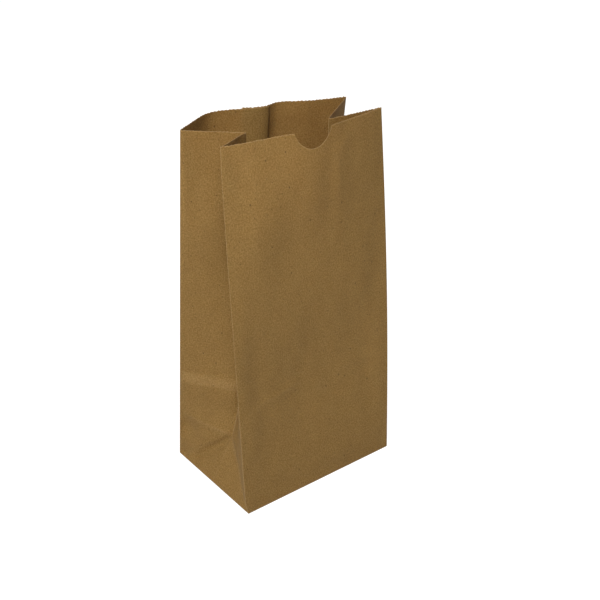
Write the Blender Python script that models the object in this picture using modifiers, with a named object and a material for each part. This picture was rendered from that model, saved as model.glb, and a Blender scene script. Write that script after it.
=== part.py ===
# Block-bottom paper bag with gusseted sides, opened and standing on its folded bottom.
# Metres, +Z up. The origin is the middle of the underside, and the front panel, with the
# thumb cut in its top edge, faces -Y. The bag is one sheet of kraft paper, rolled into a
# tube with a glued lap up the back panel and folded shut at the bottom.

import math

import bpy
import bmesh
from mathutils import Vector

# The sheet and its folds
bag_width = 0.1556            # front and back panels, between their fold edges
bag_depth = 0.1030            # each gusseted side, between its fold edges
wall_height = 0.3100          # bottom fold to mouth, measured along the paper
paper_thickness = 0.0003      # thicker than the real 0.12 mm, so that the wall is a sound solid

# The glued lap on the back panel, and the two long flaps of the bottom
lap_width = 0.0234
lap_left_edge = -0.0122       # free edge of the outer ply, from the panel's middle
lap_rise = 0.0008             # the outer ply's cut edge stands this much above the inner one's
lap_jog = 0.0012              # width over which the outer ply steps down off the inner one
flap_overlap = 0.0100         # how far each long bottom flap runs past the middle
flap_inset = 0.0004           # round of the bottom folds
ply_sink = 0.1                # share of its thickness by which a glued ply sinks into the next

# The thumb cut
thumb_radius = 0.0175
thumb_rise = 0.0034           # its centre lies this far above the mouth's edge
thumb_offset = 0.0003         # from the middle of the front panel
thumb_facets = 72
thumb_cutter_length = 0.0340  # through the front panel, and well short of the back one

# How the opened bag stands. Each lean is how far a fold edge's top has come in over the
# bag's foot, and each shift is how far it has gone sideways, to +X.
front_left_lean = 0.0381
front_right_lean = 0.0384
back_left_lean = 0.0227
back_right_lean = 0.0308
front_left_shift = 0.0017
front_right_shift = 0.0017
back_left_shift = -0.0045
back_right_shift = -0.0059
front_right_bow = 0.0034      # the right front edge stands out by this much at mid-height
gusset_foot_height = 0.0451   # the flat triangle at the foot of each side, along the paper

# How far the mouth's long edges bulge, at shares of the panel's width from its left end
front_bulge = [(0.0, 0.0), (0.15, 0.0042), (0.33, 0.0086), (0.55, 0.0120), (0.80, 0.0066), (1.0, 0.0)]
back_bulge = [(0.0, 0.0), (0.12, 0.0098), (0.27, 0.0181), (0.53, 0.0089), (0.63, 0.0115),
              (0.80, 0.0048), (1.0, 0.0)]
front_bulge_start = 0.1200    # height at which each bulge begins
back_bulge_start = 0.1000

# How finely the folded sheet is faceted
panel_columns = 20
gusset_columns = 4            # of each half of a gusset, and the rows of its foot triangle
upper_rows = 14

paper_color = (0.205, 0.120, 0.037, 1.0)
paper_roughness = 0.88

ply_pitch = (1.0 - ply_sink) * paper_thickness
foot_level = 2.0 * ply_pitch           # the walls start above the two long bottom flaps
half_width = bag_width / 2.0
half_depth = bag_depth / 2.0


def smooth_step(value):
    value = min(max(value, 0.0), 1.0)
    return value * value * (3.0 - 2.0 * value)


def curve_through(points, share):
    # Catmull-Rom curve through the points, flat-ended by repeating the end points
    last = len(points) - 2
    index = max(i for i in range(last + 1) if points[i][0] <= share or i == 0)
    (x0, y0), (x1, y1) = points[max(index - 1, 0)], points[index]
    (x2, y2), (x3, y3) = points[index + 1], points[min(index + 2, last + 1)]
    slope_in = (y2 - y0) / (x2 - x0)
    slope_out = (y3 - y1) / (x3 - x1)
    step = x2 - x1
    u = (share - x1) / step
    return ((2 * u**3 - 3 * u**2 + 1) * y1 + (u**3 - 2 * u**2 + u) * step * slope_in
            + (3 * u**2 - 2 * u**3) * y2 + (u**3 - u**2) * step * slope_out)


def leaning_edge(height, side, face, lean, shift, bow=0.0):
    # A vertical fold edge: straight from the foot's corner to the mouth, or slightly bowed.
    # Its height shrinks with its slope, because the paper keeps its length.
    share = height / wall_height
    rise = math.sqrt(1.0 - (lean * lean + shift * shift) / wall_height**2)
    return Vector((side * half_width + share * shift,
                   face * (half_depth - share * lean + bow * math.sin(math.pi * share)),
                   foot_level + height * rise))


def front_left(height):
    return leaning_edge(height, -1, -1, front_left_lean, front_left_shift)


def front_right(height):
    return leaning_edge(height, 1, -1, front_right_lean, front_right_shift, front_right_bow)


def back_left(height):
    return leaning_edge(height, -1, 1, back_left_lean, back_left_shift)


def back_right(height):
    return leaning_edge(height, 1, 1, back_right_lean, back_right_shift)


gusset_edges = {-1: (front_left, back_left), 1: (front_right, back_right)}


def gusset_plan(height, side):
    # Where the gusset's middle crease is, seen from above. Each half of the gusset stays
    # half the bag's depth wide, so the crease goes in as the two fold edges come together.
    front, back = (edge(height) for edge in gusset_edges[side])
    chord = (back - front).xy
    inward = Vector((chord.y, -chord.x)).normalized() * -side
    reach = math.sqrt(max(half_depth**2 - chord.length_squared / 4.0, 0.0))
    return (front + back).xy / 2.0 + inward * reach


def gusset_crease(heights, side):
    # The crease's points. It rises a little less than the paper's height, because it slopes.
    points = []
    for height in heights:
        plan = gusset_plan(height, side)
        if points:
            climb = height - last_height
            run = (plan - points[-1].xy).length
            level = points[-1].z + math.sqrt(climb**2 - run**2)
        else:
            start = Vector((side * half_width, 0.0))
            level = foot_level + math.sqrt(height**2 - (plan - start).length_squared)
        points.append(Vector((plan.x, plan.y, level)))
        last_height = height
    return points


def panel_point(start, end, share, bulge, outward):
    # A point of the front or back panel: on the chord between its fold edges, pushed outward
    point = start.lerp(end, share)
    chord = (end - start).xy
    normal = Vector((chord.y, -chord.x)).normalized()
    if normal.y * outward < 0:
        normal.negate()
    return point + Vector((normal.x, normal.y, 0.0)) * bulge


def front_point(height, share):
    rise = smooth_step((height - front_bulge_start) / (wall_height - front_bulge_start))
    bulge = curve_through(front_bulge, share) * rise
    return panel_point(front_left(height), front_right(height), share, bulge, -1)


def back_point(height, share, ply=0.0):
    rise = smooth_step((height - back_bulge_start) / (wall_height - back_bulge_start))
    bulge = curve_through(back_bulge, share) * rise
    return panel_point(back_left(height), back_right(height), share, bulge + ply, 1)


def lap_share(offset):
    # A place on the back panel, from its middle, as a share of the width from its left end
    return 0.5 + offset / bag_width


def back_columns():
    # The back panel's columns: one at each edge of the lap, and even ones clear of those
    inner_edge = lap_left_edge + lap_width
    marks = [lap_share(place) for place in
             (lap_left_edge, inner_edge, inner_edge + lap_jog, inner_edge + 2.0 * lap_jog)]
    spacing = 0.5 * lap_jog / bag_width
    even = [i / panel_columns for i in range(panel_columns + 1)]
    return sorted(marks + [share for share in even if min(abs(share - mark) for mark in marks) > spacing])


def upper_heights():
    # The rows of the wall from the gusset's foot triangle up to the mouth
    upper_height = wall_height - gusset_foot_height
    return [gusset_foot_height + upper_height * i / upper_rows for i in range(upper_rows + 1)]


def gusset_foot_point(corner, edge_top, middle, apex, across, up):
    # The foot of half a gusset is two flat facets that meet on the crease from the corner
    # to the apex: one below the crease, up to the side's middle, and one above it.
    if across > up:
        return corner + (middle - corner) * across + (apex - middle) * up
    return corner + (edge_top - corner) * up + (apex - edge_top) * across


def wall_rings():
    # The wall as closed rings of points, one for each height, from the bottom fold to the
    # mouth. Each ring runs front left, front right, back right, back left.
    foot_rows = gusset_columns
    foot_heights = [gusset_foot_height * i / foot_rows for i in range(foot_rows)]
    creases = {side: gusset_crease(upper_heights(), side) for side in gusset_edges}
    # The outer ply steps off the inner one just past the inner ply's free edge
    jog_end = lap_share(lap_left_edge + lap_width + lap_jog)

    def half_gusset(row, height, side, edge, from_edge):
        # One row of half a gusset, without its last point, which the next half begins with
        apex = creases[side][0]
        middle = Vector((side * half_width, 0.0, foot_level))
        points = []
        for column in range(gusset_columns + 1):
            across = column / gusset_columns
            if row < foot_rows:
                up = row / foot_rows
                point = gusset_foot_point(edge(0.0), edge(gusset_foot_height), middle, apex, across, up)
            else:
                point = edge(height).lerp(creases[side][row - foot_rows], across)
            points.append(point)
        return points[:-1] if from_edge else points[:0:-1]

    rings = []
    for row, height in enumerate(foot_heights + upper_heights()):
        ring = [front_point(height, i / panel_columns) for i in range(panel_columns)]
        ring += half_gusset(row, height, 1, front_right, True)
        ring += half_gusset(row, height, 1, back_right, False)
        for share in reversed(back_columns()[1:]):
            fade = smooth_step(height / gusset_foot_height) * smooth_step((1.0 - share) / (1.0 - jog_end))
            ply = ply_pitch * fade if share >= jog_end else 0.0
            ring.append(back_point(height, share, ply))
        ring += half_gusset(row, height, -1, back_left, True)
        ring += half_gusset(row, height, -1, front_left, False)
        rings.append(ring)
    return rings


def add_rows(shape, rows, closed=False):
    # Triangles between rows of points that run to the right as seen from outside the bag
    verts = [[shape.verts.new(point) for point in row] for row in rows]
    count = len(verts[0])
    for lower, upper in zip(verts, verts[1:]):
        for i in range(count if closed else count - 1):
            j = (i + 1) % count
            shape.faces.new((lower[i], lower[j], upper[j]))
            shape.faces.new((lower[i], upper[j], upper[i]))
    return verts


def object_from_shape(name, shape, collection):
    mesh = bpy.data.meshes.new(name)
    shape.to_mesh(mesh)
    shape.free()
    result = bpy.data.objects.new(name, mesh)
    collection.objects.link(result)
    return result


def add_thickness(target):
    # The modelled surface is the paper's outer face, so the thickness goes inwards
    solidify = target.modifiers.new("paper thickness", "SOLIDIFY")
    solidify.thickness = paper_thickness
    solidify.offset = -1.0
    solidify.use_even_offset = True
    solidify.use_quality_normals = True


def join_with(target, tool, operation):
    boolean = target.modifiers.new(tool.name, "BOOLEAN")
    boolean.operation = operation
    boolean.solver = "EXACT"
    boolean.object = tool


def make_walls(collection):
    # The tube with its folded-in gussets and the floor, as one open surface
    shape = bmesh.new()
    rows = add_rows(shape, wall_rings(), closed=True)
    shape.faces.new(reversed(rows[0]))
    bag = object_from_shape("paper_bag", shape, collection)
    add_thickness(bag)
    return bag


def make_lap_ply(collection):
    # The outer ply of the lap: a strip over the inner ply, from its own free edge to just
    # past the jog, where it ends a hair under the panel's outer face
    hidden_level = 0.95 * ply_pitch
    start = lap_share(lap_left_edge)
    end = lap_share(lap_left_edge + lap_width + 2.0 * lap_jog)
    shares = [share for share in reversed(back_columns()) if start <= share <= end]
    heights = upper_heights()[:-1] + [wall_height + lap_rise]
    shape = bmesh.new()
    add_rows(shape, [[back_point(height, share, hidden_level) for share in shares] for height in heights])
    ply = object_from_shape("lap_ply", shape, collection)
    add_thickness(ply)
    return ply


def make_bottom_flap(name, face, bottom, collection):
    # A long bottom flap, folded in from the front (face -1) or the back (face 1). Its ends
    # are mitred at 45 degrees by the corner folds, and it runs past the bag's middle.
    reach = half_depth + flap_overlap - flap_inset
    top = foot_level + ply_sink * paper_thickness
    bpy.ops.mesh.primitive_cube_add(size=1.0, location=(0.0, 0.0, 0.0))
    flap = bpy.context.object
    flap.name = name
    for vert in flap.data.vertices:
        inner = vert.co.y * face < 0
        x = half_width - flap_inset - (reach if inner else 0.0)
        y = face * (half_depth - flap_inset - (reach if inner else 0.0))
        vert.co = (math.copysign(x, vert.co.x), y, top if vert.co.z > 0 else bottom)
    for owner in list(flap.users_collection):
        owner.objects.unlink(flap)
    collection.objects.link(flap)
    return flap


def make_thumb_cutter(collection):
    # A cylinder square to the front panel's middle, and clear of the back panel
    share = 0.5 + thumb_offset / bag_width
    edge = front_point(wall_height, share)
    lower = front_point(wall_height - thumb_radius, share)
    lean = math.atan2(edge.y - lower.y, edge.z - lower.z)
    along_panel = (edge - lower).normalized()
    centre = edge + along_panel * thumb_rise
    bpy.ops.mesh.primitive_cylinder_add(vertices=thumb_facets, radius=thumb_radius,
                                        depth=thumb_cutter_length, location=centre,
                                        rotation=(math.pi / 2.0 - lean, 0.0, 0.0))
    cutter = bpy.context.object
    cutter.name = "thumb_cutter"
    for owner in list(cutter.users_collection):
        owner.objects.unlink(cutter)
    collection.objects.link(cutter)
    return cutter


def kraft_material():
    material = bpy.data.materials.new("kraft_paper")
    material.use_nodes = True
    shader = material.node_tree.nodes["Principled BSDF"]
    shader.inputs["Base Color"].default_value = paper_color
    shader.inputs["Roughness"].default_value = paper_roughness
    shader.inputs["Metallic"].default_value = 0.0
    return material


def main():
    for old in list(bpy.data.objects):
        bpy.data.objects.remove(old, do_unlink=True)
    parts = bpy.data.collections.new("paper_bag")
    tools = bpy.data.collections.new("cutters")
    for collection in (parts, tools):
        bpy.context.scene.collection.children.link(collection)

    bag = make_walls(parts)
    bag.data.materials.append(kraft_material())

    lap = make_lap_ply(tools)
    inner_flap = make_bottom_flap("inner_flap", 1, ply_pitch, tools)
    outer_flap = make_bottom_flap("outer_flap", -1, 0.0, tools)
    for joined in (lap, inner_flap, outer_flap):
        join_with(bag, joined, "UNION")
    join_with(bag, make_thumb_cutter(tools), "DIFFERENCE")
    for tool in tools.objects:
        tool.hide_render = True
        tool.display_type = "WIRE"


main()
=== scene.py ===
import math

import bpy
import numpy as np
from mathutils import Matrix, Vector


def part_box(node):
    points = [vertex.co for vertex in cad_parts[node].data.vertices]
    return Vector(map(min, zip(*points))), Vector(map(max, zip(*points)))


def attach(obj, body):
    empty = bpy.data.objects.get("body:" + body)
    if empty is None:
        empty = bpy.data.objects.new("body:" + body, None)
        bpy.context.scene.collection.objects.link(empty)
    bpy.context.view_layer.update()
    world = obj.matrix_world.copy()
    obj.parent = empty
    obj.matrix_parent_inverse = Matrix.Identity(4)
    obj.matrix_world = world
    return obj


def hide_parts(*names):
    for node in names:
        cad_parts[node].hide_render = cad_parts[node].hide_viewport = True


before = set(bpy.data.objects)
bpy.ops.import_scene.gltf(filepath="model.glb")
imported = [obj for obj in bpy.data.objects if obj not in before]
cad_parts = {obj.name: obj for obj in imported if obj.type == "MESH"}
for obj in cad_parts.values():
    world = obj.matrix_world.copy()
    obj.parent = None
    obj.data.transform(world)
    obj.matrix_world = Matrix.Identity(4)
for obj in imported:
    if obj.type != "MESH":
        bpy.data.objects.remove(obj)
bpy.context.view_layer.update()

boxLow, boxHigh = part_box("paper_bag")
print("frame loaded, bag box", [round(c, 4) for c in boxLow], [round(c, 4) for c in boxHigh])


# The camera stands at the photograph's angle: turned left of the front panel, looking down.
view = dict(yaw=-39.560, pitch=28.958, roll=1.794, distance=0.8791, right=0.0099, up=-0.0015,
            aimHeight=0.1550, lens=63.874, sensor=36, nearest=0.01)

# The sheet of kraft paper and how it was folded, in metres
sheet = dict(width=0.1556, depth=0.1030, height=0.3100, thickness=0.00020,
             lapWidth=0.0234, lapEdge=-0.0122, lapRise=0.0008, flapOverlap=0.0100,
             thumbRadius=0.0175, thumbRise=0.0034, thumbOffset=0.0003,
             foldRound=0.0007, cutRough=0.00010, flapRough=0.00040)

# How each fold edge stands: side, face, how far its top has come in, gone sideways, and bowed
standing = dict(frontLeft=(-1, -1, 0.0381, 0.0017, 0.0), frontRight=(1, -1, 0.0384, 0.0017, 0.0034),
                backLeft=(-1, 1, 0.0227, -0.0045, 0.0), backRight=(1, 1, 0.0308, -0.0059, 0.0))
footHeight = 0.0451      # of the flat triangle at the foot of each side, along the paper

# How far fold edges bow sideways, outwards, at heights up the paper
foldBow = dict(frontLeft=[(0.0, 0.0), (0.012, 0.0016), (0.035, 0.0019), (0.080, 0.0016),
                          (0.150, 0.0015), (0.280, 0.0010), (0.310, 0.0)])

# Left side (-1) and right side (1): how far bowed paper moves the middle crease outwards
# (inwards, if negative), at heights up the paper, and how much higher it ends at the mouth
creaseDraw = {-1: [(footHeight, -0.0020), (0.070, -0.0040), (0.120, -0.0032), (0.200, 0.0), (0.310, 0.0)],
              1: [(footHeight, 0.0), (0.098, 0.0017), (0.151, 0.0034), (0.278, 0.0034), (0.310, 0.0017)]}
creaseLift = {-1: -0.0010, 1: 0.0026}
creasePlaces = 400       # in the table of each middle crease
creaseReach = 1.02       # how high the table goes, as a share of the wall's height

# How far the mouth's long edges bulge, at shares of the width from the left, and what share of
# the bulge is reached at each height
bulges = dict(front=[(0.0, 0.0), (0.15, 0.0036), (0.33, 0.0053), (0.55, 0.0092), (0.80, 0.0056),
                     (1.0, 0.0)],
              back=[(0.0, 0.0), (0.12, 0.0115), (0.27, 0.0207), (0.53, 0.0122), (0.63, 0.0149),
                    (0.80, 0.0064), (1.0, 0.0)],
              frontGrowth=[(0.0, 0.0), (0.130, 0.0), (0.190, 0.25), (0.225, 0.55), (0.250, 0.80),
                           (0.280, 0.95), (0.310, 1.0)],
              backGrowth=[(0.0, 0.0), (0.100, 0.0), (0.160, 0.20), (0.250, 0.80), (0.310, 1.0)])

halfWidth = sheet["width"] / 2
halfDepth = sheet["depth"] / 2
wallHeight = sheet["height"]
girth = 2 * sheet["width"] + 2 * sheet["depth"]

# Places round the sheet, measured along it from the inner ply's free edge, round by the left
# side and the front, to the outer ply's free edge
innerPly = halfWidth + sheet["lapEdge"] + sheet["lapWidth"]
folds = dict(backLeft=innerPly, creaseLeft=innerPly + halfDepth, frontLeft=innerPly + 2 * halfDepth)
folds["frontRight"] = folds["frontLeft"] + sheet["width"]
folds["creaseRight"] = folds["frontRight"] + halfDepth
folds["backRight"] = folds["frontRight"] + 2 * halfDepth
sheetEnd = girth + sheet["lapWidth"]
flapReach = halfDepth + sheet["flapOverlap"]

# The thumb cut's middle along the sheet, and half its width at the mouth
thumbMiddle = folds["frontLeft"] + halfWidth + sheet["thumbOffset"]
thumbHalf = math.sqrt(sheet["thumbRadius"]**2 - sheet["thumbRise"]**2)

hair = 1e-9              # places nearer to each other than this count as one
leastNormal = 1e-12      # keeps a normal's length from being zero


def smoothStep(x):
    # From 0 to 1 as x goes from 0 to 1: three times its square less twice its cube
    x = np.clip(x, 0.0, 1.0)
    return x * x * (3.0 - 2.0 * x)


def curveThrough(points, share):
    # Hermite pieces between the points; the slope at each is that of its neighbours' chord
    x, y = np.array(points).T
    slope = np.empty_like(y)
    slope[1:-1] = (y[2:] - y[:-2]) / (x[2:] - x[:-2])
    slope[0] = (y[1] - y[0]) / (x[1] - x[0])
    slope[-1] = (y[-1] - y[-2]) / (x[-1] - x[-2])
    i = np.clip(np.searchsorted(x, share, side="right") - 1, 0, len(x) - 2)
    h = x[i + 1] - x[i]
    t = (share - x[i]) / h
    return ((2 * t**3 - 3 * t**2 + 1) * y[i] + (t**3 - 2 * t**2 + t) * h * slope[i]
            + (3 * t**2 - 2 * t**3) * y[i + 1] + (t**3 - t**2) * h * slope[i + 1])


def woundBack(u, beyond):
    # The outer ply of the lap lies over the back panel's left part, so its places, which come
    # after the last fold, are less by the girth there
    return np.where(u > folds["backRight"] + beyond, u - girth, u)


def foldEdge(name, v):
    # A line from the foot's corner to the mouth's, bowed towards its face by a half sine wave and
    # sideways by its own curve; it rises less than the paper's height v, because it leans
    side, face, lean, shift, bow = standing[name]
    share = v / wallHeight
    rise = math.sqrt(1.0 - (lean**2 + shift**2) / wallHeight**2)
    out = side * curveThrough(foldBow[name], v) if name in foldBow else 0.0
    return np.stack([side * halfWidth + share * shift + out,
                     face * (halfDepth - share * lean + bow * np.sin(math.pi * share)),
                     v * rise], -1)


def gussetCrease(side):
    # The middle crease of a side above its foot triangle, as a table over the paper's height.
    # Seen from above it is half the depth away from both fold edges, less what the paper's bow
    # takes; its rise is what its sideways run leaves of the paper's height.
    v = np.linspace(footHeight, wallHeight * creaseReach, creasePlaces)
    front = foldEdge("frontLeft" if side < 0 else "frontRight", v)[:, :2]
    back = foldEdge("backLeft" if side < 0 else "backRight", v)[:, :2]
    chord = back - front
    length = np.linalg.norm(chord, axis=1)
    inward = np.stack([chord[:, 1], -chord[:, 0]], 1) / length[:, None] * -side
    sag = np.sqrt(np.maximum(halfDepth**2 - length**2 / 4, 0.0))
    plan = (front + back) / 2 + inward * sag[:, None]
    plan[:, 0] += side * curveThrough(creaseDraw[side], v)
    run = np.linalg.norm(np.diff(plan, axis=0), axis=1)
    apexRise = math.sqrt(footHeight**2 - np.sum((plan[0] - [side * halfWidth, 0.0])**2))
    rise = np.concatenate([[apexRise], apexRise + np.cumsum(np.sqrt(np.diff(v)**2 - run**2))])
    lift = creaseLift[side] * (v - footHeight) / (wallHeight - footHeight)
    return v, np.column_stack([plan, rise + lift])


creases = {side: gussetCrease(side) for side in (-1, 1)}


def panelPoint(u, v, face):
    # Front or back panel: the chord between its two fold edges, pushed out by the mouth's
    # bulge, which grows with the height
    if face < 0:
        share = (u - folds["frontLeft"]) / sheet["width"]
        left, right, bulge, growth = "frontLeft", "frontRight", bulges["front"], bulges["frontGrowth"]
    else:
        share = (folds["backLeft"] - u) / sheet["width"]
        left, right, bulge, growth = "backLeft", "backRight", bulges["back"], bulges["backGrowth"]
    a = foldEdge(left, v)
    b = foldEdge(right, v)
    point = a + (b - a) * share[..., None]
    chord = b - a
    normal = np.stack([chord[..., 1], -chord[..., 0]], -1)
    normal = normal / np.linalg.norm(normal, axis=-1, keepdims=True) * -face
    out = curveThrough(bulge, np.clip(share, 0.0, 1.0)) * curveThrough(growth, v)
    point[..., :2] += normal * out[..., None]
    return point


def gussetPoint(across, v, side, edge):
    # Half a gusset, across from 0 at its fold edge to 1 at the middle crease. Above the foot it
    # is ruled between the two; the foot is two facets that meet on the corner's crease, the
    # lower one flat and the upper one bowed with the fold edge.
    table, points = creases[side]
    middle = np.stack([np.interp(v, table, points[:, k]) for k in range(3)], -1)
    outer = foldEdge(edge, v)
    upper = outer + (middle - outer) * across[..., None]
    corner = foldEdge(edge, np.array(0.0))
    edgeTop = foldEdge(edge, np.array(footHeight))
    base = np.array([side * halfWidth, 0.0, 0.0])
    apex = points[0]
    up = (v / footHeight)[..., None]
    t = across[..., None]
    below = corner + (base - corner) * t + (apex - base) * up
    straight = corner + (edgeTop - corner) * up
    bowed = (outer - straight) * np.clip(1.0 - t / np.maximum(up, hair), 0.0, 1.0)
    above = straight + (apex - edgeTop) * t + bowed
    foot = np.where(t > up, below, above)
    return np.where(up < 1.0, foot, upper)


def floorPoint(u, v):
    # The paper past the bottom fold, flat: every part is drawn in at its ends by as much as it
    # has gone in, so that the corners are mitred at 45 degrees
    inset = -v
    frontShare = (u - folds["frontLeft"]) / sheet["width"] * 2 - 1
    backShare = (folds["backLeft"] - woundBack(u, -hair)) / sheet["width"] * 2 - 1
    leftShare = 1 - (u - folds["backLeft"]) / halfDepth
    rightShare = (u - folds["frontRight"]) / halfDepth - 1
    x = halfWidth - inset
    y = halfDepth - inset
    parts = [(u < folds["backLeft"], backShare * x, y),
             (u < folds["frontLeft"], -x, leftShare * y),
             (u < folds["frontRight"], frontShare * x, -y),
             (u < folds["backRight"], x, rightShare * y)]
    px, py = backShare * x, y
    for inside, partX, partY in reversed(parts):
        px = np.where(inside, partX, px)
        py = np.where(inside, partY, py)
    return np.stack([px, py, np.zeros_like(px)], -1)


def sharpPoint(u, v):
    # The whole folded sheet, with sharp folds: each stretch between folds has its own formula
    up = np.maximum(v, 0.0)
    point = panelPoint(woundBack(u, 0.0), up, 1)
    stretches = [("backLeft", "creaseLeft", -1, "backLeft", False),
                 ("creaseLeft", "frontLeft", -1, "frontLeft", True),
                 ("frontRight", "creaseRight", 1, "frontRight", False),
                 ("creaseRight", "backRight", 1, "backRight", True)]
    for first, last, side, edge, falling in stretches:
        across = (u - folds[first]) / halfDepth
        across = 1 - across if falling else across
        inside = (u >= folds[first]) & (u <= folds[last])
        point = np.where(inside[..., None], gussetPoint(np.clip(across, 0, 1), up, side, edge), point)
    inside = (u >= folds["frontLeft"]) & (u <= folds["frontRight"])
    point = np.where(inside[..., None], panelPoint(u, up, -1), point)
    return np.where((v < 0)[..., None], floorPoint(u, np.minimum(v, 0.0)), point)


# The round patch that rounds a fold: each ring's share of its radius and of the mean
patchRings = ((0.0, 0.16), (0.55, 0.42), (1.0, 0.42))
ringPlaces = 8


def roundedPoint(u, v, reach):
    # Each point is the mean of the sharp sheet over a small round patch, which rounds the folds
    total = 0.0
    weight = 0.0
    for ring, share in patchRings:
        angles = np.arange(ringPlaces) * 2 * math.pi / ringPlaces if ring else (0.0,)
        part = share / len(angles)
        for angle in angles:
            aside = reach * ring * math.cos(angle)
            above = reach * ring * math.sin(angle)
            total = total + part * sharpPoint(u + aside, v + above)
            weight += part
    return total / weight


def foldDistance(u):
    # Distance along the paper to the nearest vertical fold or crease
    return np.min([np.abs(u - place) for place in folds.values()], axis=0)


# The pale line along each fold, from wear and painted highlight of the fold's rounded edge: half
# its width, how pale it is, the share of it that is left on a middle crease's foot and where that
# ends, as shares of the foot's height, and its lower end
foldLine = dict(halfWidth=0.00050, paleness=0.75, atFoot=0.20, footEnd=0.85, footFade=0.30,
                drop=0.002, dropFade=0.004)


def foldWearAndHighlight(u, v):
    # A narrow bell curve over each fold, which is faint below the apex of a middle crease
    wearAndHighlight = np.zeros_like(u)
    atFoot = foldLine["atFoot"]
    aboveFoot = smoothStep((v / footHeight - foldLine["footEnd"]) / foldLine["footFade"])
    for name, place in folds.items():
        paleness = atFoot + (1 - atFoot) * aboveFoot if "crease" in name else 1.0
        wearAndHighlight = np.maximum(wearAndHighlight, paleness * np.exp(-((u - place) / foldLine["halfWidth"])**2))
    return foldLine["paleness"] * wearAndHighlight * smoothStep((v + foldLine["drop"]) / foldLine["dropFade"])


# Soft creases left by flat folding and handling. Each runs from one place to another (share
# across the panel, height), and has how far its slopes reach to the right and to the left of
# that way, how far it stands out (in, if negative), the share of its length over which it fades
# at each end, and how pale its line is, from wear and painted highlight along the crease.
marks = [
    # left side: the fold across it, the corner crease, and the ridge over the foot triangle
    ("leftBack", (0.03, 0.0812), (0.98, 0.0903), 0.0280, 0.0080, 0.00270, 0.0, 0.12),
    ("leftBack", (0.08, 0.0915), (0.97, 0.0957), 0.0045, 0.0030, -0.00015, 0.0, 0.10),
    ("leftBack", (0.31, 0.0105), (0.82, 0.0385), 0.0045, 0.0200, 0.00320, 0.3, 0.10),
    ("leftBack", (0.38, 0.0090), (0.97, 0.0415), 0.0060, 0.0032, -0.00270, 0.1, 0.00),
    ("leftBack", (0.22, 0.0465), (0.95, 0.0458), 0.0035, 0.0030, 0.00040, 0.1, 0.22),
    ("leftFront", (0.00, 0.0860), (1.00, 0.0890), 0.0100, 0.0060, 0.00080, 0.0, 0.20),
    ("leftFront", (0.02, 0.0010), (0.97, 0.0437), 0.0050, 0.0050, 0.00030, 0.0, 0.40),
    # front: the fold across it, and what the pull at the thumb cut leaves
    ("front", (0.05, 0.0930), (0.95, 0.0985), 0.0850, 0.0500, -0.00130, 0.0, 0.00),
    ("front", (0.75, 0.0965), (0.97, 0.0985), 0.0800, 0.0400, -0.00170, 0.0, 0.00),
    ("front", (0.10, 0.0915), (0.39, 0.0950), 0.0060, 0.0050, 0.00075, 0.1, 0.12),
    ("front", (0.66, 0.0968), (0.86, 0.0985), 0.0050, 0.0040, 0.00040, 0.1, 0.06),
    ("front", (0.450, 0.2950), (0.13, 0.2380), 0.0420, 0.0480, 0.00240, 0.1, 0.00),
    ("front", (0.600, 0.3000), (0.585, 0.2450), 0.0120, 0.0090, -0.00070, 0.1, 0.00),
    ("front", (0.585, 0.2450), (0.640, 0.1700), 0.0140, 0.0120, -0.00040, 0.1, 0.00),
    ("front", (0.628, 0.2829), (0.715, 0.2953), 0.0050, 0.0040, 0.00060, 0.1, 0.08),
    ("front", (0.655, 0.2778), (0.655, 0.2616), 0.0050, 0.0040, 0.00050, 0.1, 0.03),
    ("front", (0.620, 0.2130), (0.700, 0.2300), 0.0060, 0.0050, 0.00040, 0.1, 0.00),
    # right side and back, folded flat in the same way
    ("rightBack", (0.03, 0.0830), (0.97, 0.0900), 0.0100, 0.0260, 0.00090, 0.0, 0.12),
    ("rightFront", (0.03, 0.0815), (0.97, 0.0895), 0.0260, 0.0100, 0.00090, 0.0, 0.12),
    ("rightFront", (0.20, 0.0070), (0.78, 0.0330), 0.0070, 0.0190, 0.00160, 0.3, 0.08),
    ("rightBack", (0.20, 0.0080), (0.78, 0.0330), 0.0190, 0.0070, 0.00150, 0.3, 0.08),
    ("rightFront", (0.30, 0.0450), (0.85, 0.0500), 0.0060, 0.0050, 0.00050, 0.1, 0.12),
    ("back", (0.08, 0.0930), (0.92, 0.0955), 0.0500, 0.0800, -0.00150, 0.0, 0.00),
    ("back", (0.12, 0.0930), (0.90, 0.0955), 0.0060, 0.0050, 0.00060, 0.1, 0.10),
    ("back", (0.64, 0.2950), (0.66, 0.1850), 0.0140, 0.0110, 0.00030, 0.1, 0.00),
    ("back", (0.25, 0.2900), (0.10, 0.2200), 0.0240, 0.0300, 0.00250, 0.1, 0.00),
    ("back", (0.72, 0.1500), (0.90, 0.1850), 0.0080, 0.0065, 0.00060, 0.1, 0.04),
]

# Bands of painted highlight between two creases, where the paper faces up towards the light: the
# panel, the middle line's two ends, half the width, and how much paler it is painted
paintedLitBands = [
    ("leftBack", (0.00, 0.0868), (1.00, 0.0908), 0.0036, 0.19),
    ("leftFront", (0.00, 0.0868), (1.00, 0.0908), 0.0036, 0.12),
    ("rightBack", (0.00, 0.0860), (1.00, 0.0905), 0.0034, 0.12),
    ("rightFront", (0.00, 0.0860), (1.00, 0.0905), 0.0034, 0.12),
]

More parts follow.
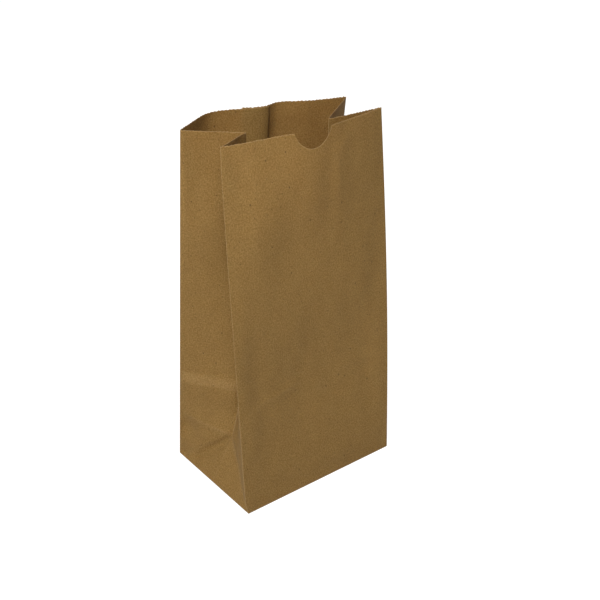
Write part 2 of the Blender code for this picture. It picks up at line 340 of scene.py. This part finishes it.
# Wide shallow swells and dents: share across the panel and height, half their size each way,
# and how far they stand out
swells = [
    ("front", 0.430, 0.096, 0.046, 0.050, -0.00600),
    ("front", 0.100, 0.150, 0.018, 0.045, -0.00120),
    ("front", 0.930, 0.172, 0.016, 0.022, -0.00130),
    ("leftBack", 0.14, 0.0330, 0.0090, 0.0110, -0.00300),
    ("leftBack", 0.12, 0.0040, 0.0050, 0.0040, -0.00080),
    ("leftBack", 0.40, 0.0640, 0.0120, 0.0080, -0.00070),
    ("leftBack", 0.50, 0.2400, 0.0300, 0.0450, 0.00400),
    ("rightFront", 0.50, 0.1600, 0.0160, 0.0500, 0.00090),
    ("rightFront", 0.20, 0.0350, 0.0080, 0.0080, -0.00200),
    ("rightBack", 0.45, 0.1800, 0.0160, 0.0500, 0.00080),
    ("back", 0.200, 0.150, 0.024, 0.050, -0.00150),
    ("back", 0.820, 0.130, 0.024, 0.040, -0.00120),
]

# Each panel's first fold, its width counted along the sheet, and over what width its relief
# comes in at its edges
panelSpans = dict(front=("frontLeft", sheet["width"], 0.0260), back=("backLeft", -sheet["width"], 0.0260),
                  leftBack=("backLeft", halfDepth, 0.0032), leftFront=("frontLeft", -halfDepth, 0.0032),
                  rightFront=("frontRight", halfDepth, 0.0040), rightBack=("backRight", -halfDepth, 0.0040))

# How far a side's relief runs on over the foot triangle: up to a share of the foot's height, and
# across to a share of half the depth, with the share over which each ends
triangleRelief = dict(top=0.9, topFade=0.3, end=1.6, endFade=0.5)


def panelPlace(u, v, panel):
    # Distance across a panel, its width, and how much of its relief shows there: from the left on
    # the front and the back, from the fold edge on a side. A side's relief runs on across the
    # foot triangle, which has no middle fold.
    fold, span, margin = panelSpans[panel]
    place = woundBack(u, hair) if panel == "back" else u
    across = (place - folds[fold]) * np.sign(span)
    width = abs(span)
    far = smoothStep((width - across) / margin)
    if width == halfDepth:
        low = smoothStep((triangleRelief["top"] - v / footHeight) / triangleRelief["topFade"])
        near = smoothStep((triangleRelief["end"] - across / width) / triangleRelief["endFade"])
        far = np.maximum(far, low * near)
    return across, width, smoothStep(across / margin) * far


# The form of a crease: how soft its foot is and how blunt its ridge, as shares of its height and
# its nearer reach, how far it fades past its ends in reaches, and half its pale line's width;
# how soft a painted lit band's edge is, and over what height all relief comes in above the bottom fold
creaseForm = dict(soft=0.2, blunt=0.2, past=1.2, lineWidth=0.0011, litBandEdge=0.0016, bottomFade=0.008)


def creaseRelief(u, v):
    # Each crease is a tent with a blunt ridge: its height falls off evenly with the distance from
    # its line, over its own reach on either side, with a soft foot, and it fades out past its ends
    # and at the panel's edge. A swell is a round hill of the bell curve. The paleness is a narrow bell
    # curve over each line, from wear and painted highlight, and over each lit band it is painted
    # highlight with soft edges.
    relief = np.zeros_like(u)
    wearAndHighlight = np.zeros_like(u)
    for panel, start, end, rightReach, leftReach, height, fade, paleness in marks:
        across, width, inside = panelPlace(u, v, panel)
        a = np.array([start[0] * width, start[1]])
        line = np.array([end[0] * width, end[1]]) - a
        length = np.linalg.norm(line)
        rx = across - a[0]
        ry = v - a[1]
        along = (rx * line[0] + ry * line[1]) / length
        off = (ry * line[0] - rx * line[1]) / length
        beyond = np.maximum(np.maximum(-along, along - length) + fade * length, 0.0)
        reach = np.where(off > 0, leftReach, rightReach)
        nearReach = min(rightReach, leftReach)
        blunt = creaseForm["blunt"] * nearReach
        left = 1.0 - (np.sqrt(off**2 + blunt**2) - blunt) / reach
        ends = np.exp(-(beyond / (creaseForm["past"] * nearReach + fade * length))**2)
        relief += height * (left + np.sqrt(left**2 + creaseForm["soft"]**2)) / 2 * ends * inside
        wearAndHighlight = np.maximum(wearAndHighlight, paleness * np.exp(-(off / creaseForm["lineWidth"])**2) * ends * inside)
    # Each lit band is painted paler: a painted highlight where the paper faces up
    for panel, start, end, halfBand, paleness in paintedLitBands:
        across, width, inside = panelPlace(u, v, panel)
        middle = start[1] + (end[1] - start[1]) * across / width
        within = smoothStep((halfBand - np.abs(v - middle)) / creaseForm["litBandEdge"] + 0.5)
        wearAndHighlight = np.maximum(wearAndHighlight, paleness * within * inside)
    for panel, share, middle, halfAcross, halfUp, height in swells:
        across, width, inside = panelPlace(u, v, panel)
        hill = np.exp(-((across - share * width) / halfAcross)**2 - ((v - middle) / halfUp)**2)
        relief += height * hill * inside
    return relief * smoothStep(v / creaseForm["bottomFade"]), wearAndHighlight


# Slack in the paper: how many waves there are of each length and height, how their lengths
# spread, and how near the folds and the foot they die out
slack = dict(seed=19, waves=((10, 0.085, 0.00016), (14, 0.042, 0.000075), (18, 0.020, 0.000030)),
             shortest=0.75, longest=1.3, foldFade=0.009, footFade=0.020)


def waveRelief(u, v):
    # A sum of long cosine waves in many directions, still at the folds
    chance = np.random.default_rng(slack["seed"])
    wound = woundBack(u, hair)
    total = np.zeros_like(u)
    for count, length, height in slack["waves"]:
        for k in range(count):
            turn = chance.uniform(0, 2 * math.pi)
            phase = chance.uniform(0, 2 * math.pi)
            wave = 2 * math.pi / (length * chance.uniform(slack["shortest"], slack["longest"]))
            total += height * np.cos(wave * (wound * math.cos(turn) + v * math.sin(turn)) + phase)
    still = 1 - np.exp(-(foldDistance(u) / slack["foldFade"])**2)
    return total * still * smoothStep(v / slack["footFade"])


# The grid of places on the sheet: its even step, the offsets at which columns lie close together
# around the folds and the lap's edges, the angles of those on the thumb cut's circle, the gap
# kept clear beside it, and the least gap between two columns or two rows
grid = dict(step=0.00205, atFolds=(0.0003, 0.0006, 0.0009, 0.0013, 0.0019), atLap=(0.0004, 0.0008, 0.0014),
            cutAngles=np.radians(np.arange(-84, 85, 6)), cutClear=0.0008, columnGap=0.00018, rowGap=0.0003)

# Rows: how many over the flaps, up to where, and then bands from one height to another by a
# step, with many at the bottom fold, the foot, the crease across the sides and the mouth
flapRows = 7
flapTop = -0.004
rowBands = ((-0.003, 0.003, 0.0005), (0.004, 0.0535, 0.0019), (0.056, 0.077, 0.0030),
            (0.0785, 0.1010, 0.0011), (0.104, 0.292, 0.0060), (0.2945, wallHeight - 0.0025, 0.0026))

# The last rows below the cut edge, where the columns are split finer for its teeth
rimBand = (0.0012, 0.0007, 0.00035, 0.0)
rimSplit = 4


def denseAround(places, offsets):
    # Grid places close together around each of the given ones
    offsets = np.array(offsets)
    return (np.array(places)[:, None] + np.concatenate([-offsets, [0.0], offsets])).ravel()


def mergePlaces(places, low, high, gap):
    # Sorted places between two limits, with those nearer than the gap to the one before left out
    places = np.sort(places[(places > low + gap / 2) & (places < high - gap / 2)])
    kept = [low]
    for place in places:
        if place - kept[-1] >= gap:
            kept.append(place)
    return np.array(kept + [high])


def sheetColumns():
    # Columns round the sheet: even, and close together at the folds, the lap and the thumb cut
    even = np.arange(0.0, sheetEnd, grid["step"])
    even = even[np.abs(even - thumbMiddle) > thumbHalf + grid["cutClear"]]
    foldPlaces = denseAround(list(folds.values()), grid["atFolds"])
    lap = denseAround([girth, sheet["lapWidth"], sheetEnd], grid["atLap"])
    cut = np.clip(sheet["thumbRadius"] * np.sin(grid["cutAngles"]), -thumbHalf, thumbHalf) + thumbMiddle
    return mergePlaces(np.concatenate([even, foldPlaces, lap, cut]), 0.0, sheetEnd, grid["columnGap"])


def sheetRows():
    # Rows up the sheet, from the flaps' cut edge to the rim
    flaps = np.linspace(-flapReach, flapTop, flapRows)
    rows = np.concatenate([flaps] + [np.arange(*band) for band in rowBands])
    return mergePlaces(rows, -flapReach, wallHeight - rimBand[0], grid["rowGap"])


# The zigzag that the knife leaves: a tooth's length and depth, and how much the teeth differ,
# by two waves over the tooth's number
teeth = dict(pitch=0.0030, depth=0.00050, uneven=0.35, firstWave=2.3, secondWave=1.7, secondPhase=1.0)


def cutTeeth(u):
    # A triangle wave whose teeth differ a little, and none at the thumb cut
    phase = u / teeth["pitch"]
    number = np.floor(phase)
    second = np.cos(teeth["secondWave"] * number + teeth["secondPhase"])
    size = 1.0 + teeth["uneven"] * np.sin(teeth["firstWave"] * number) * second
    wave = size * (np.abs(2 * (phase - number) - 1) - 0.5)
    off = np.abs(u - thumbMiddle)
    return teeth["depth"] * wave * smoothStep((off - sheet["thumbRadius"]) / teeth["pitch"])


def mouthHeight(u):
    # Height of the cut edge: the wall's height, down round the thumb cut's circle, up a little
    # on the outer ply of the lap
    off = np.abs(u - thumbMiddle)
    arc = sheet["thumbRise"] - np.sqrt(np.maximum(sheet["thumbRadius"]**2 - off**2, 0.0))
    cut = np.where(off < thumbHalf - hair, np.minimum(arc, 0.0), 0.0)
    rise = sheet["lapRise"] * np.clip((u - folds["backRight"]) / (sheetEnd - folds["backRight"]), 0.0, 1.0)
    return wallHeight + cut + rise


def gridMesh(name, points, places, wearAndHighlight, faces):
    # A mesh from arrays of faces over a flat list of points, with the sheet's own places as its
    # UV map in metres, and the paleness at each point, from wear and painted highlight
    used = np.unique(np.concatenate([part.ravel() for part in faces]))
    renumber = np.zeros(len(points), int)
    renumber[used] = np.arange(len(used))
    mesh = bpy.data.meshes.new(name)
    mesh.from_pydata(points[used], [], [face for part in faces for face in renumber[part].tolist()])
    loops = np.concatenate([part.ravel() for part in faces])
    mesh.uv_layers.new(name="sheet").data.foreach_set("uv", places[loops].astype(np.float32).ravel())
    mesh.attributes.new("wearAndHighlight", "FLOAT", "POINT").data.foreach_set("value", wearAndHighlight[used].astype(np.float32))
    mesh.shade_smooth()
    return mesh


def gridFaces(rows, columns, first=0):
    # The corner numbers of a grid's cells, counted row by row, as rows x columns x 4
    index = first + np.arange(rows * columns).reshape(rows, columns)
    return np.stack([index[:-1, :-1], index[:-1, 1:], index[1:, 1:], index[1:, :-1]], -1)


def thickPiece(name, mesh, offset):
    # An object whose paper gets its thickness, with the cut edge's material on its rim
    piece = bpy.data.objects.new(name, mesh)
    bpy.context.scene.collection.objects.link(piece)
    wall = piece.modifiers.new("thickness", "SOLIDIFY")
    wall.thickness = sheet["thickness"]
    wall.offset = offset
    wall.use_even_offset = False
    wall.material_offset_rim = 1
    return piece


# How the lap's plies lie: their gap in thicknesses, how far each free edge lifts and over what
# width, and the height above the bottom fold over which that lift comes in
plies = dict(gap=1.35, outerLift=0.00030, innerLift=0.00010, liftReach=0.0016, climb=0.03)

# The bottom flaps' levels: one step in thicknesses, the width at a corner over which a level
# changes, either way, and the height over which it fades up the wall
flapLevels = dict(step=1.3, turn=0.0008, fade=0.020)

# How worn the paper is along the bottom fold, the cut edge and the lap's free edges, and over
# what distance
edgeWear = dict(bottomFold=(0.60, 0.0006), cutEdge=(0.90, 0.00045), lapEdge=(0.50, 0.0005))


def lineWear(name, distance):
    # A bell curve over the distance from an edge
    paleness, reach = edgeWear[name]
    return paleness * np.exp(-(distance / reach)**2)


def sheetSurface(u, v, below):
    # The paper's outer face: the rounded sheet, moved along its normal by the creases, the slack
    # and the lap's plies. The distance below the cut edge sets how worn it is.
    point = roundedPoint(u, v, sheet["foldRound"])
    normal = np.cross(np.gradient(point, axis=1), np.gradient(point, axis=0))
    normal /= np.maximum(np.linalg.norm(normal, axis=-1, keepdims=True), leastNormal)

    # The outer ply lies on the inner one, and eases back to the panel's face towards its fold.
    # Both free edges lift a little: the outer one outwards, the inner one into the bag.
    onLap = smoothStep((u - folds["backRight"]) / (sheetEnd - folds["backRight"] - sheet["lapWidth"]))
    climb = smoothStep(v / plies["climb"])
    ply = plies["gap"] * sheet["thickness"] * onLap
    ply += plies["outerLift"] * np.exp(-(sheetEnd - u) / plies["liftReach"]) * climb
    ply -= plies["innerLift"] * np.exp(-u / plies["liftReach"]) * climb
    relief, wearAndHighlight = creaseRelief(u, v)
    relief = relief + waveRelief(u, v) + ply
    point = point + normal * np.where(v > 0, relief, ply)[..., None]

    # Each bottom flap lies at its own level: front outermost, then back, then the sides
    level = flapLevels["step"] * sheet["thickness"]
    turn = flapLevels["turn"]
    places = [0.0, folds["backLeft"] - turn, folds["backLeft"] + turn, folds["frontLeft"] - turn,
              folds["frontLeft"] + turn, folds["frontRight"] - turn, folds["frontRight"] + turn,
              folds["backRight"] - turn, folds["backRight"] + turn, sheetEnd]
    levels = [level, level, 2 * level, 2 * level, 0.0, 0.0, 2 * level, 2 * level, level, level]
    point[..., 2] += np.interp(u, places, levels) * (1 - smoothStep(v / flapLevels["fade"]))

    edges = [foldWearAndHighlight(u, v), lineWear("bottomFold", v), lineWear("cutEdge", below),
             lineWear("lapEdge", np.minimum(u, sheetEnd - u))]
    return point, np.maximum.reduce([wearAndHighlight] + edges)


mouthBand = 0.060        # over which the rows come to follow the mouth's cut edge
sideFlapGap = 0.0006     # between the two sides' folded-in paper, either side of the middle
roughSeed = 3


def buildSheet():
    # The sheet's rows and columns are joined by faces, but for the rows at the very top, where
    # finer columns make the toothed rim
    columns = sheetColumns()
    u, v = np.meshgrid(columns, sheetRows())
    chance = np.random.default_rng(roughSeed)
    rough = chance.normal(0.0, sheet["cutRough"], u.shape[1])
    top = mouthHeight(u[0]) + rough
    bottom = flapReach + chance.normal(0.0, sheet["flapRough"], u.shape[1])
    # Rows near the mouth follow its cut edge, and the lowest rows follow the flaps' cut edge
    lift = np.clip((v - (wallHeight - mouthBand)) / mouthBand, 0.0, 1.0)
    v = v + lift * (top[None, :] - wallHeight)
    v = np.where(v < flapTop, v * (1 + (bottom[None, :] / flapReach - 1) * (-v / flapReach)), v)
    point, wearAndHighlight = sheetSurface(u, v, top[None, :] - v)

    # The rim: the same surface on finer columns, up to the toothed edge
    share = np.arange(rimSplit) / rimSplit
    fine = np.append((columns[:-1, None] + np.diff(columns)[:, None] * share).ravel(), columns[-1])
    edge = mouthHeight(fine) + np.interp(fine, columns, rough)
    below = np.array(rimBand)[:, None]
    rimU = np.broadcast_to(fine, (len(rimBand), len(fine)))
    rimV = edge - below * (1 + (edge - wallHeight) / mouthBand * (below == rimBand[0]))
    rimV = rimV + cutTeeth(fine) * (1 - below / rimBand[0])
    rimPoint, rimWearAndHighlight = sheetSurface(rimU, rimV, np.broadcast_to(below, rimU.shape))

    rows, count = u.shape
    cells = gridFaces(rows, count)
    cellU = (u[:-1, :-1] + u[1:, 1:]) / 2
    cellV = (v[:-1, :-1] + v[1:, 1:]) / 2
    onSide = (((cellU > folds["backLeft"]) & (cellU < folds["frontLeft"]))
              | ((cellU > folds["frontRight"]) & (cellU < folds["backRight"])))
    keep = ~(onSide & (cellV < -(halfDepth - sideFlapGap)))
    keep &= ~((cellU > girth) & (cellV < 0.0))
    # The last row of cells joins each coarse cell to several fine ones in one face
    first = rows * count
    steps = np.arange(count - 1)[:, None] * rimSplit + np.arange(rimSplit, -1, -1)
    joining = np.concatenate([cells[-1][:, :2], first + steps], 1)
    rim = gridFaces(len(rimBand), len(fine), first).reshape(-1, 4)
    faces = [cells[:-1][keep[:-1]], joining, rim]
    points = np.concatenate([point.reshape(-1, 3), rimPoint.reshape(-1, 3)])
    places = np.concatenate([np.stack([u, v], -1).reshape(-1, 2),
                             np.stack([rimU, rimV], -1).reshape(-1, 2)])
    mesh = gridMesh("bagSheet", points, places, np.concatenate([wearAndHighlight.ravel(), rimWearAndHighlight.ravel()]), faces)
    print("sheet of", rows, "x", count, "places with", sum(len(part) for part in faces), "faces")
    return thickPiece("bagSheet", mesh, -1)


# A side's bottom flap: the gap to the walls, its grid's columns and rows, its height above the
# ground, how far its inner end rises, and over which share of its reach
sideFlap = dict(clear=0.0009, columns=12, rows=16, height=0.0009, rise=0.0006, riseShare=0.2)


def buildSideFlap(side):
    # The side's bottom flap, folded in first: a flat rectangle that shows on the bag's floor, and
    # rises by a smooth step at its inner end
    edge = sideFlap["clear"]
    x = np.linspace(halfWidth - edge, halfWidth - flapReach, sideFlap["columns"])
    y = np.linspace(-halfDepth + edge, halfDepth - edge, sideFlap["rows"])
    gx, gy = np.meshgrid(side * x, y)
    risen = flapReach * sideFlap["riseShare"]
    inward = halfWidth - np.abs(gx) - flapReach * (1 - sideFlap["riseShare"])
    height = sideFlap["height"] + sideFlap["rise"] * smoothStep(inward / risen)
    point = np.stack([gx, gy, height], -1)
    if side > 0:
        point = point[:, ::-1]
    faces = [gridFaces(*point.shape[:2]).reshape(-1, 4)]
    point = point.reshape(-1, 3)
    mesh = gridMesh("bottomSideFlap", point, point[:, :2], np.zeros(len(point)), faces)
    return thickPiece("bottomFlapLeft" if side < 0 else "bottomFlapRight", mesh, 0)


# Natural kraft: colours are linear, sizes in metres. A little light comes through the paper. The
# pale colour for worn places is also painted as highlight on folds, creases and lit bands.
kraft = dict(colour=(0.222, 0.127, 0.035), pale=(0.290, 0.174, 0.056), dark=(0.158, 0.083, 0.019),
             paleness=(0.360, 0.240, 0.110), cutEdge=(0.330, 0.220, 0.105), speck=(0.070, 0.036, 0.012),
             roughness=0.82, gloss=0.20, glow=0.25, glowReach=0.0010, glowTint=(1.0, 0.7, 0.45))

# The paper's patterns: size across and along the sheet, detail, and how rough the detail is
patterns = dict(mottle=(0.0100, 0.0130, 4.0, 0.6), grain=(0.00105, 0.001365, 3.0, 0.7),
                fibre=(0.00022, 0.0022, 2.0, 0.6), crossFibre=(0.0022, 0.000286, 1.0, 0.5),
                speck=(0.0021, 0.0034, 0.0, 0.5))

# Between which two values of its pattern a colour comes in, and how strong it is at each
tones = dict(mottle=(0.30, 0.70, 0.0, 0.50), darkGrain=(0.30, 0.60, 1.0, 0.0),
             paleGrain=(0.50, 0.72, 0.0, 1.0), fibre=(0.55, 0.70, 0.0, 0.70),
             crossFibre=(0.60, 0.74, 0.0, 0.60), speck=(0.885, 0.905, 0.0, 0.75),
             wearAndHighlight=(0.30, 0.62, 0.35, 1.0))

# The finest relief, which only catches the light: strength and depth
bumps = dict(grain=(0.35, 0.00010), fibre=(0.30, 0.00004))


def kraftMaterial(name, edge=False):
    # Kraft paper on the sheet's own UV map: mottled, with grain, fibres both ways and specks, and
    # paler where it is worn and where highlight is painted on folds, creases and lit bands; a cut edge
    # is pale all over under its grain
    material = bpy.data.materials.new(name)
    material.use_nodes = True
    nodes = material.node_tree.nodes
    links = material.node_tree.links
    shader = nodes["Principled BSDF"]
    shader.inputs["Roughness"].default_value = kraft["roughness"]
    shader.inputs["Specular IOR Level"].default_value = kraft["gloss"]
    shader.inputs["Subsurface Weight"].default_value = kraft["glow"]
    shader.inputs["Subsurface Radius"].default_value = kraft["glowTint"]
    shader.inputs["Subsurface Scale"].default_value = kraft["glowReach"]
    coords = nodes.new("ShaderNodeTexCoord").outputs["UV"]

    def noise(pattern):
        # Smooth noise whose grains have the pattern's own size across and along the sheet
        across, along, detail, roughness = patterns[pattern]
        place = nodes.new("ShaderNodeMapping")
        place.inputs["Scale"].default_value = (1 / across, 1 / along, 1)
        links.new(coords, place.inputs["Vector"])
        texture = nodes.new("ShaderNodeTexNoise")
        texture.noise_dimensions = "2D"
        texture.inputs["Scale"].default_value = 1.0
        texture.inputs["Detail"].default_value = detail
        texture.inputs["Roughness"].default_value = roughness
        links.new(place.outputs["Vector"], texture.inputs["Vector"])
        return texture.outputs["Fac"]

    def ramp(source, tone):
        # A straight line between two values, level outside them
        node = nodes.new("ShaderNodeMapRange")
        for socket, value in zip(("From Min", "From Max", "To Min", "To Max"), tones[tone]):
            node.inputs[socket].default_value = value
        links.new(source, node.inputs["Value"])
        return node.outputs["Result"]

    def blend(amount, first, second):
        # From the first colour to the second by the amount
        node = nodes.new("ShaderNodeMix")
        node.data_type = "RGBA"
        links.new(amount, node.inputs["Factor"])
        for socket, value in ((node.inputs["A"], first), (node.inputs["B"], second)):
            if isinstance(value, tuple):
                socket.default_value = (*value, 1.0)
            else:
                links.new(value, socket)
        return node.outputs["Result"]

    def bump(source, name, under=None):
        # The source's height as fine relief, over the relief under it
        node = nodes.new("ShaderNodeBump")
        strength, depth = bumps[name]
        node.inputs["Strength"].default_value = strength
        node.inputs["Distance"].default_value = depth
        links.new(source, node.inputs["Height"])
        if under:
            links.new(under, node.inputs["Normal"])
        return node.outputs["Normal"]

    grain = noise("grain")
    fibre = noise("fibre")
    if edge:
        colour = kraft["cutEdge"]
    else:
        colour = blend(ramp(noise("mottle"), "mottle"), kraft["colour"], kraft["pale"])
    colour = blend(ramp(grain, "darkGrain"), colour, kraft["dark"])
    colour = blend(ramp(grain, "paleGrain"), colour, kraft["pale"])
    colour = blend(ramp(fibre, "fibre"), colour, kraft["pale"])
    colour = blend(ramp(noise("crossFibre"), "crossFibre"), colour, kraft["pale"])
    colour = blend(ramp(noise("speck"), "speck"), colour, kraft["speck"])
    if not edge:
        # Paler where worn, and painted highlight on folds, creases and lit bands
        paleness = nodes.new("ShaderNodeAttribute")
        paleness.attribute_name = "wearAndHighlight"
        wearAndHighlightAmount = nodes.new("ShaderNodeMath")
        wearAndHighlightAmount.operation = "MULTIPLY"
        links.new(paleness.outputs["Fac"], wearAndHighlightAmount.inputs[0])
        links.new(ramp(grain, "wearAndHighlight"), wearAndHighlightAmount.inputs[1])
        colour = blend(wearAndHighlightAmount.outputs["Value"], colour, kraft["paleness"])
    links.new(colour, shader.inputs["Base Color"])
    links.new(bump(fibre, "fibre", bump(grain, "grain")), shader.inputs["Normal"])
    return material


# A pale floor and soft studio light. The camera sees the floor as white, less a share of its shadow.
studio = dict(floorSize=12, floorColour=0.80, floorWhite=0.88, floorShade=0.32, sky=0.18)

# Each lamp: place, diameter and power
lamps = dict(key=((-0.55, -0.45, 0.95), 0.5, 11.0),
             sideFill=((-1.3, -0.35, 1.2), 0.7, 2.2),
             backHigh=((0.2, 0.9, 1.5), 1.0, 8.0),
             backFill=((1.5, 1.3, 1.5), 1.2, 8.5))


def seenStraight(nodes, links):
    # 1 where the camera or a reflection sees the surface, and 0 where it only lights others
    path = nodes.new("ShaderNodeLightPath")
    seen = nodes.new("ShaderNodeMath")
    seen.operation = "MAXIMUM"
    links.new(path.outputs["Is Camera Ray"], seen.inputs[0])
    links.new(path.outputs["Is Glossy Ray"], seen.inputs[1])
    return seen.outputs[0]


def mattShader(nodes, grey):
    # An even grey that scatters light all ways
    matt = nodes.new("ShaderNodeBsdfDiffuse")
    matt.inputs["Color"].default_value = (grey, grey, grey, 1.0)
    return matt.outputs[0]


def buildFloor():
    # A flat square: matt to the light, and near white with the bag's shadow to the camera
    bpy.ops.mesh.primitive_plane_add(size=studio["floorSize"])
    floor = bpy.context.object
    floor.name = "floor"
    material = bpy.data.materials.new("paleFloor")
    material.use_nodes = True
    nodes = material.node_tree.nodes
    links = material.node_tree.links
    nodes.clear()
    out = nodes.new("ShaderNodeOutputMaterial")
    white = nodes.new("ShaderNodeEmission")
    white.inputs["Strength"].default_value = studio["floorWhite"]
    shown = nodes.new("ShaderNodeAddShader")
    links.new(mattShader(nodes, studio["floorShade"]), shown.inputs[0])
    links.new(white.outputs[0], shown.inputs[1])
    mix = nodes.new("ShaderNodeMixShader")
    links.new(seenStraight(nodes, links), mix.inputs["Fac"])
    links.new(mattShader(nodes, studio["floorColour"]), mix.inputs[1])
    links.new(shown.outputs[0], mix.inputs[2])
    links.new(mix.outputs[0], out.inputs["Surface"])
    floor.data.materials.append(material)


def buildLights():
    # A faint even sky, seen as white, and the lamps, each turned to the bag's middle
    world = bpy.data.worlds.new("studio")
    world.use_nodes = True
    bpy.context.scene.world = world
    nodes = world.node_tree.nodes
    links = world.node_tree.links
    background = nodes["Background"]
    background.inputs["Color"].default_value = (1.0, 1.0, 1.0, 1.0)
    strength = nodes.new("ShaderNodeMapRange")
    strength.inputs["To Min"].default_value = studio["sky"]
    strength.inputs["To Max"].default_value = 1.0
    links.new(seenStraight(nodes, links), strength.inputs["Value"])
    links.new(strength.outputs["Result"], background.inputs["Strength"])
    for name, (place, size, power) in lamps.items():
        lamp = bpy.data.lights.new(name, "AREA")
        lamp.shape = "DISK"
        lamp.size = size
        lamp.energy = power
        holder = bpy.data.objects.new(name, lamp)
        bpy.context.scene.collection.objects.link(holder)
        holder.location = place
        toward = Vector((0.0, 0.0, wallHeight / 2)) - Vector(place)
        holder.rotation_euler = toward.to_track_quat("-Z", "Y").to_euler()


def buildCamera():
    # The back vector points from the aim to the camera; right is level, turned by the roll
    yaw, pitch, roll = (math.radians(view[key]) for key in ("yaw", "pitch", "roll"))
    back = np.array([math.sin(yaw) * math.cos(pitch), -math.cos(yaw) * math.cos(pitch), math.sin(pitch)])
    level = np.array([math.cos(yaw), math.sin(yaw), 0.0])
    upright = np.cross(back, level)
    right = math.cos(roll) * level + math.sin(roll) * upright
    up = math.cos(roll) * upright - math.sin(roll) * level
    aim = np.array([0.0, 0.0, view["aimHeight"]])
    place = aim + back * view["distance"] + right * view["right"] + up * view["up"]
    camera = bpy.data.objects.new("camera", bpy.data.cameras.new("camera"))
    bpy.context.scene.collection.objects.link(camera)
    camera.data.sensor_width = view["sensor"]
    camera.data.lens = view["lens"]
    camera.data.clip_start = view["nearest"]
    matrix = camera.matrix_world.copy()
    for row in range(3):
        matrix[row][:] = (right[row], up[row], back[row], place[row])
    camera.matrix_world = matrix
    bpy.context.scene.camera = camera


buildCamera()
buildFloor()
buildLights()
bpy.context.scene.view_settings.view_transform = "Standard"
print("camera, floor and lights placed")

paper = kraftMaterial("kraftPaper")
cutEdge = kraftMaterial("kraftCutEdge", edge=True)
sheetPiece = buildSheet()
flaps = [buildSideFlap(side) for side in (-1, 1)]
for piece in [sheetPiece] + flaps:
    piece.data.materials.append(paper)
    piece.data.materials.append(cutEdge)
    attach(piece, "root")
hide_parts("paper_bag")
print("bag built and dressed")
